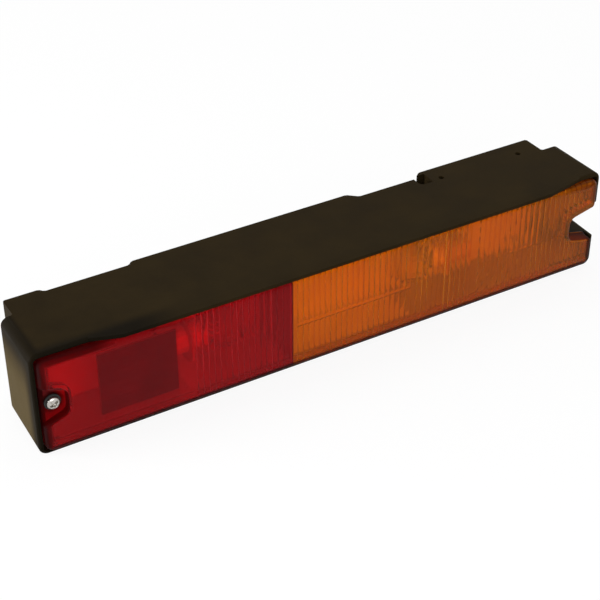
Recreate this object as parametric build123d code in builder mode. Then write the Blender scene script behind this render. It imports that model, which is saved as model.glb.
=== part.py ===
from build123d import *
import math
import os

os.makedirs("parts", exist_ok=True)

# Rear combination lamp with a red and an amber lens. Sizes are in millimetres.
# X runs along the lamp from the red end, the lens faces -Y, Z is up.
# The origin lies on the rear mounting face, midway between the two fixing inserts.

# Housing
length = 374.5
height = 68
corner_radius = 5
front_depth = 42
rear_depth = 16
side_draft = 2.4
end_draft = 0.4
rim_wall = 2.3
body_wall = 5.2
back_wall = 2.5
rim_round = 2
pad_chamfer = 1.0

# Rear section: three pads with a shallow and a deeper recess between them
rear_start = 7.8
rear_end_setback = 14
end_step = 0.6
first_pad_length = 21
first_recess_length = 56
first_recess_depth = 3
first_recess_slope = 2.5
second_recess_length = 52
second_recess_depth = 5.6
second_recess_slope = 6
third_pad_length = 81.7

# Hood over the lens, a forward part of the top wall
hood_start = 34
hood_left_slope = 18
hood_right_slope = 26
hood_end_setback = 16
hood_reach = 5.6
hood_root = 3

# Lens
lens_gap = 1.0
lens_proud = 3.2
lens_sink = 5
lens_wall = 2.5
lens_skirt = 2.2
lens_edge_radius = 3
lens_corner = 4.5
red_length = 155.5

# Notch through the right end and screw pocket at the left end share one outline
notch_depth = 22.5
notch_tip_half = 7.5
notch_mouth_half = 13
notch_round = 5
notch_wall = 2.5
pocket_depth = 15
pocket_floor = 2
pocket_drop = 1.5

# Flutes inside the lens
flute_pitch = 3.65
flute_rise = 0.8
flute_flank = 1.1
flute_margin = 4
red_flute_start = 95
smooth_length = 21
smooth_gap = 20.8
flute_weld_gap = 1.5

# Reflex reflector behind the dark window
reflex_start = 37
reflex_length = 47
reflex_height = 42
reflex_raise = 2
reflex_plate = 1.6
prism_pitch = 5.8
prism_rise = 2

# Gasket
gasket_thickness = 2
gasket_width = 1.7
gasket_inset = 0.15

# Lens screw
screw_head_radius = 3.8
screw_head_height = 2.6
screw_head_crown = 0.9
screw_radius = 2
screw_length = 14
screw_clearance = 0.25
recess_width = 1.1
recess_span = 4.6
recess_depth = 1.5
washer_radius = 4.8
washer_thickness = 0.8
insert_radius = 3.2
insert_length = 10
boss_wall = 1.4
boss_clearance = 0.4
fit_clearance = 0.1

# Moulded-in inserts are hexagonal, and round pieces inside the lamp have few sides
insert_sides = 6
small_sides = 8
round_sides = 16

# Lens tongues at the right end
tongue_width = 9
tongue_thickness = 1.6
tongue_grip = 1.5
tongue_height = 21
tongue_clearance = 0.3

# Partitions
partition_wall = 2.2
partition_lens_gap = 0.8
partition_setback = 2
partition_carrier_gap = 0.5
wire_hole = 7
wire_hole_drop = 18
wire_hole_gap = 3

# Bulb carriers
sheet = 1.2
carrier_depth = 32.5
carrier_half_height = 26.5
carrier_end_gap = 3
red_carrier_start = 20
upright_half_width = 13
upright_top_depth = 6
upright_chamfer = 5
red_upright = 97
amber_upright_gap = 12.8
earth_blade_width = 6.3
earth_blade_length = 7
post_radius = 3.4
post_height_offset = 19
post_end_offset = 12
small_screw_radius = 1.5
small_head_radius = 3
small_head_height = 1.8
small_screw_length = 8

# Bulbs and sockets, measured along the bulb from the upright's bulb side
bulb_depth = 18
cap_radius = 7.45
cap_wall = 0.5
cap_base = 1.2
cap_bottom = 6
cap_length = 15
contact_dot_radius = 1.4
contact_dot_height = 0.8
pin_radius = 1
pin_reach = 1.1
pin_place = 2.2
glass_radius = 12.5
glass_wall = 0.8
glass_bands = 5
neck_clearance = 0.12
neck_overlap = 4
neck_length = 3
socket_clearance = 0.3
socket_wall = 0.5
socket_reach = 4
socket_back = 16
socket_flange_half = 9.6
socket_flange = 0.8
pin_slot_width = 2.6
insulator_thickness = 2.5
strip_width = 4
strip_thickness = 0.4
strip_blade = 6
strip_offset = 3.6
strip_rise = 4.4
strip_slot_clearance = 0.15
wire = 0.7
coil_half_length = 2.6
filament_reach = 14

# Cable inlet in a slot beside the last pad, and terminal block
slot_length = 9
slot_width = 11
slot_round = 3
slot_gap = 7.8
slot_floor = 9
inlet_radius = 4.2
grommet_bore = 3
grommet_flange_radius = 5.2
grommet_flange = 1.3
block_start = 24
block_length = 36
block_half_width = 8
block_height = 10
blade_count = 4
blade_width = 6.3
blade_thickness = 0.8
blade_height = 8
block_post_radius = 2.8
block_post_gap = 1.5

# Drain holes in the top wall
drain_radius = 1.9
drain_depth = 45.5
drain_first = 8.6
drain_second = 66.2

# Fixing inserts
fixing_inset = 18.5
fixing_end_gap = 8.3
fixing_bore = 2.5
fixing_radius = 4.2
fixing_length = 12
fixing_boss_wall = 2.6
fixing_boss_floor = 2

# Places worked out from the sizes above
total_depth = front_depth + rear_depth
rim_y = -total_depth
side_slope = math.tan(math.radians(side_draft))
end_slope = math.tan(math.radians(end_draft))
side_lean = total_depth * side_slope
end_lean = total_depth * end_slope
lens_inset = rim_wall + lens_gap
lens_length = length - 2 * lens_inset
lens_height = height - 2 * lens_inset
boss_radius = insert_radius + boss_wall
screw_inset = lens_inset + lens_skirt + boss_clearance + boss_radius
ledge_depth = lens_sink + gasket_thickness
lens_inner = -lens_proud + lens_wall
pocket_level = pocket_drop + pocket_floor
first_pad_end = rear_start + first_pad_length
second_pad_start = first_pad_end + first_recess_length
rear_end = length - rear_end_setback
third_pad_start = rear_end - third_pad_length
second_pad_end = third_pad_start - second_recess_length
fixing_places = [fixing_inset, second_pad_end - fixing_end_gap]
left_end = -sum(fixing_places) / 2
last_partition = third_pad_start + partition_setback
amber_upright = last_partition - amber_upright_gap
smooth_end = last_partition - smooth_gap
smooth_start = smooth_end - smooth_length
slot_depth = carrier_depth + sheet + slot_gap + back_wall + slot_width / 2
notch_tip = length - notch_depth
amber_carrier_end = notch_tip - notch_wall - carrier_end_gap
chamber_depth = total_depth - back_wall
socket_inner = cap_radius + socket_clearance
socket_outer = socket_inner + socket_wall
drain_places = [third_pad_start + drain_first, third_pad_start + drain_second]
carrier_posts = [
    (red_carrier_start + post_end_offset, post_height_offset),
    (red_length - carrier_end_gap - post_end_offset, -post_height_offset),
    (red_length + partition_wall + carrier_end_gap + post_end_offset, post_height_offset),
    (amber_carrier_end - post_end_offset, -post_height_offset),
]
block_centre = last_partition + block_start + block_length / 2


def facing(depth):
    """Sketch plane parallel to the lens, this far behind the rim, x from the left end."""
    return Plane(origin=(left_end, rim_y + depth, 0), x_dir=(1, 0, 0), z_dir=(0, -1, 0))


def plan(level):
    """Sketch plane seen from above at this level, x from the left end, y behind the rim."""
    return Plane(origin=(left_end, rim_y, level), x_dir=(1, 0, 0), z_dir=(0, 0, 1))


def section(distance):
    """Sketch plane across the lamp at this distance from the left end, x behind the rim."""
    return Plane(origin=(left_end + distance, rim_y, 0), x_dir=(0, 1, 0), z_dir=(1, 0, 0))


def along_bulb(upright, direction):
    """Sketch plane through a bulb's axis, x from the upright towards the glass."""
    return Plane(
        origin=(left_end + upright, rim_y + bulb_depth, 0),
        x_dir=(direction, 0, 0),
        z_dir=(0, 0, 1),
    )


def across_bulb(base, distance):
    """Sketch plane square to a bulb's axis, x up, facing the glass."""
    return Plane(origin=base.origin + base.x_dir * distance, x_dir=(0, 0, 1), z_dir=base.x_dir)


def rear_outline(inset):
    """Outline of the rear steps seen from above, with the walls moved in by the inset.

    It passes clear of the front section, whose ends have a draft of their own.
    """
    back = total_depth - inset
    clear = corner_radius
    return [
        (-clear, -clear),
        (-clear, front_depth - inset),
        (rear_start + inset, front_depth - inset),
        (rear_start + inset, back),
        (first_pad_end - inset, back),
        (first_pad_end + first_recess_slope - inset, back - first_recess_depth),
        (second_pad_start - first_recess_slope + inset, back - first_recess_depth),
        (second_pad_start + inset, back),
        (second_pad_end - inset, back),
        (second_pad_end + second_recess_slope - inset, back - second_recess_depth),
        (third_pad_start - second_recess_slope + inset, back - second_recess_depth),
        (third_pad_start + inset, back),
        (rear_end - inset, back),
        (rear_end - inset, front_depth - end_step - inset),
        (length + clear, front_depth - end_step - inset),
        (length + clear, -clear),
    ]


def mouth_outline(tip, mouth):
    """Flared outline of a notch from its rounded tip to its open mouth."""
    flare = (notch_mouth_half - notch_tip_half) / abs(mouth - tip)
    past = mouth + math.copysign(notch_mouth_half, mouth - tip)
    half = notch_tip_half + flare * abs(past - tip)
    return [(tip, notch_tip_half), (past, half), (past, -half), (tip, -notch_tip_half)]


# Space inside the housing, less everything that stands up in it
with BuildPart() as hollow:
    with BuildSketch(facing(ledge_depth)):
        with Locations((length / 2, 0)):
            Rectangle(length - 2 * body_wall, height - 2 * body_wall)
    with BuildSketch(facing(total_depth)):
        with Locations((length / 2, 0)):
            Rectangle(
                length - 2 * body_wall - 2 * end_lean,
                height - 2 * body_wall - 2 * side_lean,
            )
    loft(ruled=True)
    with BuildSketch(plan(0)):
        with BuildLine():
            Polyline(*rear_outline(back_wall), close=True)
        make_face()
    extrude(amount=height, both=True, mode=Mode.INTERSECT)
    with BuildSketch(facing(total_depth)):
        with BuildLine():
            Polyline(*mouth_outline(notch_tip, length), close=True)
        make_face()
        fillet(vertices().group_by(Axis.X)[0], radius=notch_round)
        offset(amount=notch_wall)
    extrude(amount=total_depth, mode=Mode.SUBTRACT)
    with BuildSketch(facing(total_depth)):
        with Locations((red_length + partition_wall / 2, 0)):
            Rectangle(partition_wall, height)
    extrude(amount=total_depth, mode=Mode.SUBTRACT)
    with BuildSketch(facing(total_depth)):
        with Locations((last_partition + partition_wall / 2, 0)):
            Rectangle(partition_wall, height)
    extrude(amount=total_depth - carrier_depth - sheet - partition_carrier_gap, mode=Mode.SUBTRACT)
    with BuildSketch(facing(total_depth)):
        with Locations((screw_inset, 0)):
            Circle(boss_radius)
    extrude(amount=total_depth, mode=Mode.SUBTRACT)
    with BuildSketch(facing(total_depth)):
        for place in fixing_places:
            with Locations((place, 0)):
                Circle(fixing_radius + fixing_boss_wall)
    extrude(amount=fixing_length + fixing_boss_floor, mode=Mode.SUBTRACT)
    with BuildSketch(plan(-slot_floor - back_wall)):
        with Locations((last_partition + partition_wall, slot_depth)):
            Rectangle(
                slot_length + partition_wall + back_wall,
                slot_width + 2 * back_wall,
                align=(Align.MAX, Align.CENTER),
            )
    extrude(amount=height, mode=Mode.SUBTRACT)
    with BuildSketch(facing(total_depth)):
        for place in carrier_posts:
            with Locations(place):
                RegularPolygon(post_radius, small_sides)
    extrude(amount=total_depth - carrier_depth - sheet, mode=Mode.SUBTRACT)
    with BuildSketch(facing(total_depth)):
        with Locations((block_centre, 0)):
            RegularPolygon(block_post_radius, small_sides)
    extrude(amount=back_wall + block_height - block_post_gap, mode=Mode.SUBTRACT)

# Hood: follows the slope of the top wall behind the rim and runs level in front of it
hood_top = height / 2
with BuildPart() as hood:
    with BuildSketch(section(hood_start)):
        with BuildLine():
            Polyline(
                (-hood_reach, hood_top),
                (0, hood_top),
                (hood_root, hood_top - hood_root * side_slope),
                (hood_root, hood_top - rim_wall),
                (-hood_reach, hood_top - rim_wall),
                close=True,
            )
        make_face()
    extrude(amount=length - hood_end_setback - hood_start)
    with BuildSketch(plan(0)):
        with BuildLine():
            Polyline(
                (hood_start, hood_root),
                (hood_start, 0),
                (hood_start + hood_left_slope, -hood_reach),
                (length - hood_end_setback - hood_right_slope, -hood_reach),
                (length - hood_end_setback, 0),
                (length - hood_end_setback, hood_root),
                close=True,
            )
        make_face()
    extrude(amount=height, mode=Mode.INTERSECT)

with BuildPart() as housing:
    with BuildSketch(facing(0)):
        with Locations((length / 2, 0)):
            RectangleRounded(length, height, corner_radius)
    with BuildSketch(facing(total_depth)):
        with Locations((length / 2, 0)):
            RectangleRounded(length - 2 * end_lean, height - 2 * side_lean, corner_radius)
    loft(ruled=True)
    with BuildSketch(plan(0)):
        with BuildLine():
            Polyline(*rear_outline(0), close=True)
        make_face()
    extrude(amount=height, both=True, mode=Mode.INTERSECT)
    fillet(housing.faces().sort_by(Axis.Y)[0].edges(), radius=rim_round)
    upright_edges = housing.edges().filter_by(Axis.Z)
    chamfer(upright_edges.filter_by_position(Axis.Y, rim_y + ledge_depth, 0), length=pad_chamfer)
    add(hood.part)
    add(hollow.part, mode=Mode.SUBTRACT)
    with BuildSketch(facing(0)):
        with Locations((length / 2, 0)):
            RectangleRounded(length - 2 * rim_wall, height - 2 * rim_wall, corner_radius - rim_wall)
    extrude(amount=-ledge_depth, mode=Mode.SUBTRACT)
    with BuildSketch(facing(ledge_depth)):
        with Locations((screw_inset, 0)):
            Circle(boss_radius)
    extrude(amount=ledge_depth - pocket_level)
    with BuildSketch(facing(ledge_depth)):
        with Locations((red_length + partition_wall / 2, 0)):
            Rectangle(partition_wall, lens_height - 2 * lens_skirt - 2 * lens_gap)
    extrude(amount=ledge_depth - lens_inner - partition_lens_gap - flute_rise)
    with BuildSketch(facing(total_depth)):
        with BuildLine():
            Polyline(*mouth_outline(notch_tip, length), close=True)
        make_face()
        fillet(vertices().group_by(Axis.X)[0], radius=notch_round)
    extrude(amount=total_depth + lens_proud, mode=Mode.SUBTRACT)
    with BuildSketch(plan(-slot_floor)):
        with Locations((last_partition - slot_length / 2, slot_depth)):
            Rectangle(slot_length, slot_width)
        fillet(vertices().group_by(Axis.X)[0], radius=slot_round)
    extrude(amount=height, mode=Mode.SUBTRACT)
    with BuildSketch(section(last_partition - slot_length / 2)):
        with Locations((slot_depth, 0)):
            Circle(inlet_radius)
    extrude(amount=slot_length / 2 + partition_wall + back_wall, mode=Mode.SUBTRACT)
    for place in (red_length, last_partition):
        with BuildSketch(section(place)):
            with Locations((carrier_depth + sheet + wire_hole_gap + wire_hole / 2, -wire_hole_drop)):
                Rectangle(wire_hole, wire_hole)
        extrude(amount=partition_wall, mode=Mode.SUBTRACT)
    with BuildSketch(facing(pocket_level)):
        with Locations((screw_inset, 0)):
            RegularPolygon(insert_radius + fit_clearance, insert_sides)
    extrude(amount=-screw_length, mode=Mode.SUBTRACT)
    with BuildSketch(facing(total_depth)):
        for place in fixing_places:
            with Locations((place, 0)):
                RegularPolygon(fixing_radius + fit_clearance, insert_sides)
    extrude(amount=fixing_length, mode=Mode.SUBTRACT)
    with BuildSketch(facing(carrier_depth)):
        for place in carrier_posts:
            with Locations(place):
                RegularPolygon(small_screw_radius + fit_clearance, small_sides)
    extrude(amount=-small_screw_length, mode=Mode.SUBTRACT)
    with BuildSketch(facing(chamber_depth - block_height)):
        with Locations((block_centre, 0)):
            RegularPolygon(small_screw_radius + fit_clearance, small_sides)
    extrude(amount=-small_screw_length, mode=Mode.SUBTRACT)
    with BuildSketch(plan(0)):
        for place in drain_places:
            with Locations((place, drain_depth)):
                RegularPolygon(drain_radius, small_sides)
    extrude(amount=height, mode=Mode.SUBTRACT)
    with BuildSketch(section(length - rim_wall - tongue_grip)):
        for side in (-1, 1):
            with Locations((lens_sink - tongue_thickness, side * tongue_height)):
                Rectangle(
                    tongue_thickness + 2 * tongue_clearance,
                    tongue_width + 2 * tongue_clearance,
                )
    extrude(amount=2 * rim_wall + tongue_grip, mode=Mode.SUBTRACT)

housing.part.label = "housing"
export_step(housing.part, "parts/housing.step")


def lens_area(inset):
    """Area this far inside the lens outline, its notch included, seen from the front."""
    with BuildSketch() as area:
        with Locations((length / 2, 0)):
            Rectangle(lens_length - 2 * inset, lens_height - 2 * inset)
        with BuildSketch(mode=Mode.PRIVATE) as notch:
            with BuildLine():
                Polyline(*mouth_outline(notch_tip, length), close=True)
            make_face()
            fillet(notch.vertices().group_by(Axis.X)[0], radius=notch_round)
            offset(amount=inset)
        add(notch.sketch, mode=Mode.SUBTRACT)
    return area.sketch


# Lens in one form, then parted at the weld between red and amber
with BuildPart() as lens:
    with BuildSketch(facing(lens_sink)):
        with Locations((length / 2, 0)):
            RectangleRounded(lens_length, lens_height, lens_corner)
    extrude(amount=lens_sink + lens_proud)
    fillet(lens.faces().sort_by(Axis.Y)[0].edges(), radius=lens_edge_radius)
    with BuildSketch(facing(lens_sink)):
        add(lens_area(0))
    extrude(amount=lens_sink + lens_proud, mode=Mode.INTERSECT)
    with BuildSketch(facing(lens_sink)):
        add(lens_area(lens_skirt))
    extrude(amount=lens_sink - lens_inner, mode=Mode.SUBTRACT)
    with BuildSketch(facing(pocket_level)):
        with BuildLine():
            Polyline(*mouth_outline(lens_inset + pocket_depth, lens_inset), close=True)
        make_face()
        fillet(vertices().group_by(Axis.X)[-1], radius=notch_round)
        offset(amount=lens_skirt)
        with Locations((length / 2, 0)):
            Rectangle(lens_length, lens_height, mode=Mode.INTERSECT)
    extrude(amount=pocket_level - lens_inner)
    with BuildSketch(facing(pocket_level - pocket_floor)):
        with BuildLine():
            Polyline(*mouth_outline(lens_inset + pocket_depth, lens_inset), close=True)
        make_face()
        fillet(vertices().group_by(Axis.X)[-1], radius=notch_round)
    extrude(amount=lens_proud + pocket_drop, mode=Mode.SUBTRACT)
    with BuildSketch(facing(pocket_level)):
        with Locations((screw_inset, 0)):
            Circle(screw_radius + screw_clearance)
    extrude(amount=lens_proud, mode=Mode.SUBTRACT)
    flute_bands = [
        (red_flute_start, red_length - flute_weld_gap),
        (red_length + partition_wall + flute_weld_gap, smooth_start),
        (smooth_end, last_partition - flute_weld_gap),
        (last_partition + partition_wall + flute_weld_gap, notch_tip - notch_wall - flute_weld_gap),
    ]
    for band_start, band_end in flute_bands:
        flute_count = int((band_end - band_start) / flute_pitch)
        with BuildSketch(plan(-lens_height / 2 + flute_margin)):
            with BuildLine():
                for index in range(flute_count):
                    left = band_start + index * flute_pitch
                    Polyline(
                        (left, lens_inner),
                        (left + flute_flank, lens_inner + flute_rise),
                        (left + flute_pitch - flute_flank, lens_inner + flute_rise),
                        (left + flute_pitch, lens_inner),
                    )
                right = band_start + flute_count * flute_pitch
                Polyline(
                    (right, lens_inner),
                    (right, lens_inner - lens_wall / 2),
                    (band_start, lens_inner - lens_wall / 2),
                    (band_start, lens_inner),
                )
            make_face()
        extrude(amount=lens_height - 2 * flute_margin)
    with BuildSketch(section(length - lens_inset - lens_skirt / 2)):
        for side in (-1, 1):
            with Locations((lens_sink - tongue_thickness, side * tongue_height)):
                Rectangle(tongue_thickness, tongue_width)
    extrude(amount=lens_skirt / 2 + lens_gap + tongue_grip)

weld = Plane(origin=(left_end + red_length, 0, 0), x_dir=(0, 1, 0), z_dir=(1, 0, 0))
for colour, side in (("red", Keep.BOTTOM), ("amber", Keep.TOP)):
    with BuildPart() as lens_half:
        add(lens.part)
        split(bisect_by=weld, keep=side)
    lens_half.part.label = "lens_" + colour
    export_step(lens_half.part, "parts/lens_" + colour + ".step")

# Reflex reflector: a plate whose back is a field of small pyramids
prisms_across = int(reflex_length / prism_pitch)
prisms_up = int(reflex_height / prism_pitch)


def saw_outline(start, count, front):
    """Flat front and a saw-tooth back of this many prisms."""
    back = front + reflex_plate
    teeth = [(start, back)]
    for index in range(count):
        teeth.append((start + (index + 0.5) * prism_pitch, back + prism_rise))
        teeth.append((start + (index + 1) * prism_pitch, back))
    return [(start, front)] + teeth + [(start + count * prism_pitch, front)]


with BuildPart() as reflex_reflector:
    with BuildSketch(plan(reflex_raise - prisms_up * prism_pitch / 2)):
        with BuildLine():
            Polyline(*saw_outline(reflex_start, prisms_across, lens_inner), close=True)
        make_face()
    extrude(amount=prisms_up * prism_pitch)
    with BuildSketch(section(reflex_start)):
        with BuildLine():
            rows = saw_outline(reflex_raise - prisms_up * prism_pitch / 2, prisms_up, lens_inner)
            Polyline(*[(depth, level) for level, depth in rows], close=True)
        make_face()
    extrude(amount=prisms_across * prism_pitch, mode=Mode.INTERSECT)
reflex_reflector.part.label = "reflex_reflector"
export_step(reflex_reflector.part, "parts/reflex_reflector.step")

with BuildPart() as lens_gasket:
    with BuildSketch(facing(ledge_depth)):
        add(lens_area(gasket_inset))
        add(lens_area(gasket_inset + gasket_width), mode=Mode.SUBTRACT)
    extrude(amount=gasket_thickness)
lens_gasket.part.label = "lens_gasket"
export_step(lens_gasket.part, "parts/lens_gasket.step")

# Lens screw with its washer and insert
head_seat = pocket_level - pocket_floor - washer_thickness
with BuildPart() as lens_screw:
    with BuildSketch(facing(head_seat)):
        with Locations((screw_inset, 0)):
            Circle(screw_head_radius)
    extrude(amount=screw_head_height)
    chamfer(lens_screw.faces().sort_by(Axis.Y)[0].edges(), length=screw_head_crown)
    with BuildSketch(facing(head_seat)):
        with Locations((screw_inset, 0)):
            RegularPolygon(screw_radius, small_sides)
    extrude(amount=-screw_length)
    with BuildSketch(facing(head_seat - screw_head_height + recess_depth)):
        with Locations((screw_inset, 0)):
            Rectangle(recess_span, recess_width, rotation=45)
            Rectangle(recess_width, recess_span, rotation=45)
    extrude(amount=recess_depth, mode=Mode.SUBTRACT)
lens_screw.part.label = "lens_screw"
export_step(lens_screw.part, "parts/lens_screw.step")

with BuildPart() as lens_screw_washer:
    with BuildSketch(facing(pocket_level - pocket_floor)):
        with Locations((screw_inset, 0)):
            Circle(washer_radius)
            RegularPolygon(screw_radius + screw_clearance, small_sides, mode=Mode.SUBTRACT)
    extrude(amount=washer_thickness)
lens_screw_washer.part.label = "lens_screw_washer"
export_step(lens_screw_washer.part, "parts/lens_screw_washer.step")

with BuildPart() as lens_screw_insert:
    with BuildSketch(facing(pocket_level)):
        with Locations((screw_inset, 0)):
            RegularPolygon(insert_radius, insert_sides)
            Circle(screw_radius + fit_clearance, mode=Mode.SUBTRACT)
    extrude(amount=-insert_length)
lens_screw_insert.part.label = "lens_screw_insert"
export_step(lens_screw_insert.part, "parts/lens_screw_insert.step")


def bulb_carrier(name, start, end, upright, direction, posts):
    """Folded steel plate on the housing's posts, with an upright that holds a bulb socket."""
    back_face = upright - direction * sheet
    with BuildPart() as carrier:
        with BuildSketch(facing(carrier_depth + sheet)):
            with Locations(((start + end) / 2, 0)):
                Rectangle(end - start, 2 * carrier_half_height)
            for post in posts:
                with Locations(post):
                    RegularPolygon(small_screw_radius + screw_clearance, small_sides, mode=Mode.SUBTRACT)
        extrude(amount=sheet)
        with BuildSketch(section(min(upright, back_face))):
            with Locations(((upright_top_depth + carrier_depth) / 2, 0)):
                Rectangle(carrier_depth - upright_top_depth, 2 * upright_half_width)
            chamfer(vertices().group_by(Axis.X)[0], length=upright_chamfer)
            with Locations((bulb_depth, 0)):
                RegularPolygon(socket_outer + fit_clearance, round_sides, mode=Mode.SUBTRACT)
        extrude(amount=sheet)
        with BuildSketch(facing(carrier_depth + sheet)):
            with Locations((upright + direction * earth_blade_width, 0)):
                Rectangle(earth_blade_width, blade_thickness)
        extrude(amount=-earth_blade_length)
    carrier.part.label = name
    export_step(carrier.part, "parts/" + name + ".step")


bulb_carrier(
    "red_bulb_carrier",
    red_carrier_start,
    red_length - carrier_end_gap,
    red_upright,
    1,
    carrier_posts[:2],
)
bulb_carrier(
    "amber_bulb_carrier",
    red_length + partition_wall + carrier_end_gap,
    amber_carrier_end,
    amber_upright,
    -1,
    carrier_posts[2:],
)


def small_screws(name, places, seat):
    """Hexagon-headed screws at these places, heads in front of the seat."""
    with BuildPart() as screws:
        with BuildSketch(facing(seat)):
            for place in places:
                with Locations(place):
                    RegularPolygon(small_head_radius, insert_sides)
        extrude(amount=small_head_height)
        with BuildSketch(facing(seat)):
            for place in places:
                with Locations(place):
                    RegularPolygon(small_screw_radius, small_sides)
        extrude(amount=-small_screw_length)
    screws.part.label = name
    export_step(screws.part, "parts/" + name + ".step")


small_screws("carrier_screws", carrier_posts, carrier_depth)


def bulb_set(name, upright, direction, contacts, filament_names):
    """Socket, insulator, leaf contacts, cap, glass and filaments of one bulb."""
    base = along_bulb(upright, direction)
    with BuildPart() as socket:
        with BuildSketch(across_bulb(base, -socket_back)):
            RegularPolygon(socket_outer, round_sides)
            RegularPolygon(socket_inner, round_sides, mode=Mode.SUBTRACT)
        extrude(amount=socket_back + socket_reach)
        with BuildSketch(across_bulb(base, 0)):
            Rectangle(2 * socket_flange_half, 2 * socket_flange_half)
            RegularPolygon(socket_inner, round_sides, mode=Mode.SUBTRACT)
        extrude(amount=socket_flange)
        with BuildSketch(base):
            with Locations((socket_reach, 0)):
                Rectangle(
                    socket_reach - socket_flange,
                    pin_slot_width,
                    align=(Align.MAX, Align.CENTER),
                )
        extrude(amount=cap_radius + 2 * pin_reach, both=True, mode=Mode.SUBTRACT)
    socket.part.label = name + "_socket"
    export_step(socket.part, "parts/" + name + "_socket.step")

    strips = {key: side * strip_offset for key, side in contacts}
    with BuildPart() as insulator:
        with BuildSketch(across_bulb(base, -socket_back)):
            RegularPolygon(socket_inner - fit_clearance, round_sides)
            for level in strips.values():
                with Locations((level, 0)):
                    Rectangle(
                        strip_width + 2 * strip_slot_clearance,
                        strip_thickness + 2 * strip_slot_clearance,
                        mode=Mode.SUBTRACT,
                    )
        extrude(amount=insulator_thickness)
    insulator.part.label = name + "_insulator"
    export_step(insulator.part, "parts/" + name + "_insulator.step")

    dot_face = -cap_bottom - contact_dot_height
    strip_bend = -socket_back + insulator_thickness + strip_thickness
    for key, level in strips.items():
        with BuildPart() as contact:
            with BuildSketch(base.offset(level - strip_width / 2)):
                with BuildLine():
                    Polyline(
                        (-socket_back - strip_blade, 0),
                        (strip_bend, 0),
                        (strip_bend, strip_rise),
                        (dot_face - strip_thickness / 2, 0),
                    )
                trace(line_width=strip_thickness)
            extrude(amount=strip_width)
        contact.part.label = key + "_contact"
        export_step(contact.part, "parts/" + key + "_contact.step")

    cap_end = cap_length - cap_bottom
    cap_inner = cap_radius - cap_wall
    with BuildPart() as cap:
        with BuildSketch(across_bulb(base, -cap_bottom)):
            RegularPolygon(cap_radius, round_sides)
        extrude(amount=cap_length)
        with BuildSketch(across_bulb(base, -cap_bottom + cap_base)):
            RegularPolygon(cap_inner, round_sides)
        extrude(amount=cap_length - cap_base, mode=Mode.SUBTRACT)
        with BuildSketch(base.offset(cap_radius - cap_wall)):
            with Locations((pin_place, 0)):
                RegularPolygon(pin_radius, small_sides)
        extrude(amount=cap_wall + pin_reach)
        with BuildSketch(base.offset(-cap_radius + cap_wall)):
            with Locations((pin_place, 0)):
                RegularPolygon(pin_radius, small_sides)
        extrude(amount=-cap_wall - pin_reach)
        for level in strips.values():
            with BuildSketch(across_bulb(base, -cap_bottom)):
                with Locations((level, 0)):
                    RegularPolygon(contact_dot_radius, small_sides)
            extrude(amount=-contact_dot_height)
    cap.part.label = name + "_bulb_cap"
    export_step(cap.part, "parts/" + name + "_bulb_cap.step")

    neck = cap_inner - neck_clearance
    neck_start = cap_end - neck_overlap
    globe_angle = math.asin(neck / glass_radius)
    globe_centre = cap_end + neck_length + glass_radius * math.cos(globe_angle)

    def globe_points(wall):
        """Corners of the rings of panes that make the globe, inside of this wall."""
        radius = glass_radius - wall
        first = math.pi - math.asin((neck - wall) / radius)
        turns = [first * (1 - step / glass_bands) for step in range(glass_bands)]
        sides = [2 * math.pi * side / round_sides for side in range(round_sides)]
        return [
            base.from_local_coords((
                globe_centre + radius * math.cos(turn),
                radius * math.sin(turn) * math.sin(side),
                radius * math.sin(turn) * math.cos(side),
            ))
            for turn in turns
            for side in sides
        ]

    with BuildPart() as glass:
        for wall, mode in ((0, Mode.ADD), (glass_wall, Mode.SUBTRACT)):
            with BuildSketch(across_bulb(base, neck_start + wall)):
                RegularPolygon(neck - wall, round_sides)
            extrude(amount=globe_centre - neck_start - wall, mode=mode)
            ConvexPolyhedron(globe_points(wall), mode=mode)
    glass.part.label = name + "_bulb_glass"
    export_step(glass.part, "parts/" + name + "_bulb_glass.step")

    stem_start = neck_start + glass_wall
    with BuildPart() as filament:
        for level in strips.values():
            with BuildSketch(base.offset((level - wire) / 2)):
                with BuildLine():
                    Polyline(
                        (stem_start, -coil_half_length),
                        (stem_start + filament_reach, -coil_half_length),
                        (stem_start + filament_reach, coil_half_length),
                        (stem_start, coil_half_length),
                    )
                trace(line_width=wire)
            extrude(amount=wire)
    filament.part.label = filament_names
    export_step(filament.part, "parts/" + filament_names + ".step")


bulb_set("stop_tail", red_upright, 1, (("stop", 1), ("tail", -1)), "stop_tail_filaments")
bulb_set("indicator", amber_upright, -1, (("indicator", 0),), "indicator_filament")

# Terminal block on its post, with blades for the cable's cores
block_seat = chamber_depth
with BuildPart() as terminal_block:
    with BuildSketch(facing(block_seat)):
        with Locations((block_centre, 0)):
            Rectangle(block_length, 2 * block_half_width)
            RegularPolygon(block_post_radius + fit_clearance, small_sides, mode=Mode.SUBTRACT)
    extrude(amount=block_height)
    with BuildSketch(facing(block_seat - block_height)):
        with Locations((block_centre, 0)):
            with GridLocations(block_length / blade_count, 0, blade_count, 1):
                Rectangle(
                    blade_thickness + 2 * strip_slot_clearance,
                    blade_width + 2 * strip_slot_clearance,
                )
    extrude(amount=-block_height / 2, mode=Mode.SUBTRACT)
terminal_block.part.label = "terminal_block"
export_step(terminal_block.part, "parts/terminal_block.step")

with BuildPart() as terminal_blades:
    with BuildSketch(facing(block_seat - block_height / 2)):
        with Locations((block_centre, 0)):
            with GridLocations(block_length / blade_count, 0, blade_count, 1):
                Rectangle(blade_thickness, blade_width)
    extrude(amount=block_height / 2 + blade_height)
terminal_blades.part.label = "terminal_blades"
export_step(terminal_blades.part, "parts/terminal_blades.step")

small_screws("terminal_block_screw", [(block_centre, 0)], block_seat - block_height)

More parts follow.
